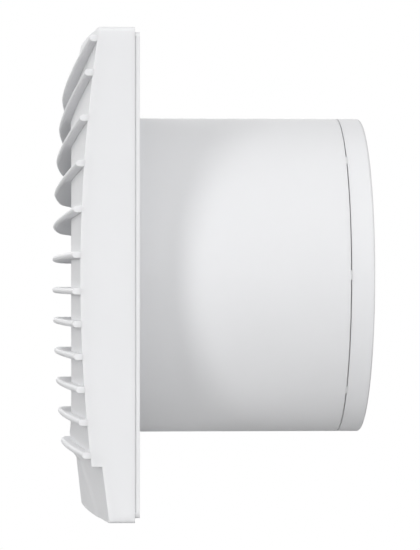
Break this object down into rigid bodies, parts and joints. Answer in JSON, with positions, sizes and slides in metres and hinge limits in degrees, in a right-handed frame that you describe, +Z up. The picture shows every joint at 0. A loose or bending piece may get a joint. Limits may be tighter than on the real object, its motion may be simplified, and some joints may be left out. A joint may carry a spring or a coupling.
{
  "type": "bathroom extractor fan",
  "caption": "Square wall-mounted extractor fan with a domed louvred cover, round duct spigot, axial impeller and butterfly back-draught valve.",
  "frame": {"origin": "on the axis of the fan, in the plane of the rear face of the wall plate, which rests on the wall", "axes": "+Y runs into the duct along the fan axis, -Y faces the room, +Z is up, +X is to the right as seen from the room"},
  "size_m": [0.145, 0.0978, 0.145],
  "materials": {
    "white_moulding": "fine matt moulded white",
    "fan_plastic": "smooth moulded white",
    "flap_plastic": "thin moulded white",
    "bright_steel": "bright zinc plate",
    "lamination_steel": "stacked laminations",
    "copper": "enamelled copper",
    "bronze": "sintered bronze",
    "brass": "plain brass",
    "cast_alloy": "die-cast",
    "nylon": "natural nylon",
    "rubber": "soft black rubber",
    "fuse_body": "moulded body",
    "live_insulation": "brown insulation",
    "neutral_insulation": "blue insulation"
  },
  "bodies": {
    "housing": {"cable_clamp": "nylon", "cable_clamp_screws": "bright_steel", "cable_grommet": "rubber", "coil_bobbins": "nylon", "front_bearing_bracket": "cast_alloy", "front_bush": "bronze", "live_lead": "live_insulation", "motor_cup": "white_moulding", "motor_nuts": "bright_steel", "motor_rear_cap": "white_moulding", "motor_screws": "bright_steel", "neutral_lead": "neutral_insulation", "rear_bearing_bracket": "cast_alloy", "rear_bush": "bronze", "rear_cap_screws": "bright_steel", "rubber_mounts": "rubber", "shading_rings": "copper", "spigot": "white_moulding", "stator_core": "lamination_steel", "terminal_block": "nylon", "terminal_block_screw": "bright_steel", "terminal_cover": "white_moulding", "terminal_cover_screw": "bright_steel", "terminal_inserts": "brass", "terminal_screws": "bright_steel", "thermal_fuse": "fuse_body", "valve_pin": "bright_steel", "valve_ring": "white_moulding", "wall_plate": "white_moulding", "windings": "copper"},
    "rotor": {"shaft": "bright_steel", "rotor_core": "lamination_steel", "rotor_cage": "cast_alloy", "thrust_washers": "nylon", "shaft_collars": "bright_steel", "impeller": "fan_plastic", "impeller_nut": "bright_steel", "spinner_cap": "fan_plastic"},
    "cover": {"front_cover": "white_moulding"},
    "right_valve_flap": {"right_flap": "flap_plastic", "right_flap_spring": "bright_steel"},
    "left_valve_flap": {"left_flap": "flap_plastic", "left_flap_spring": "bright_steel"}
  },
  "joints": [
    {"name": "impeller_spin", "type": "hinge", "parent": "housing", "child": "rotor", "pos_m": [0, 0, 0], "axis": [0, 1, 0], "continuous": true},
    {"name": "cover_pull", "type": "slide", "parent": "housing", "child": "cover", "axis": [0, -1, 0], "range_m": [0, 0.05]},
    {"name": "right_flap_swing", "type": "hinge", "parent": "housing", "child": "right_valve_flap", "pos_m": [0, 0.0676, 0], "axis": [0, 0, 1], "range_deg": [0, 75], "stiffness_Nm_per_rad": 0.001},
    {"name": "left_flap_swing", "type": "hinge", "parent": "housing", "child": "left_valve_flap", "pos_m": [0, 0.0676, 0], "axis": [0, 0, -1], "range_deg": [0, 75], "stiffness_Nm_per_rad": 0.001}
  ]
}
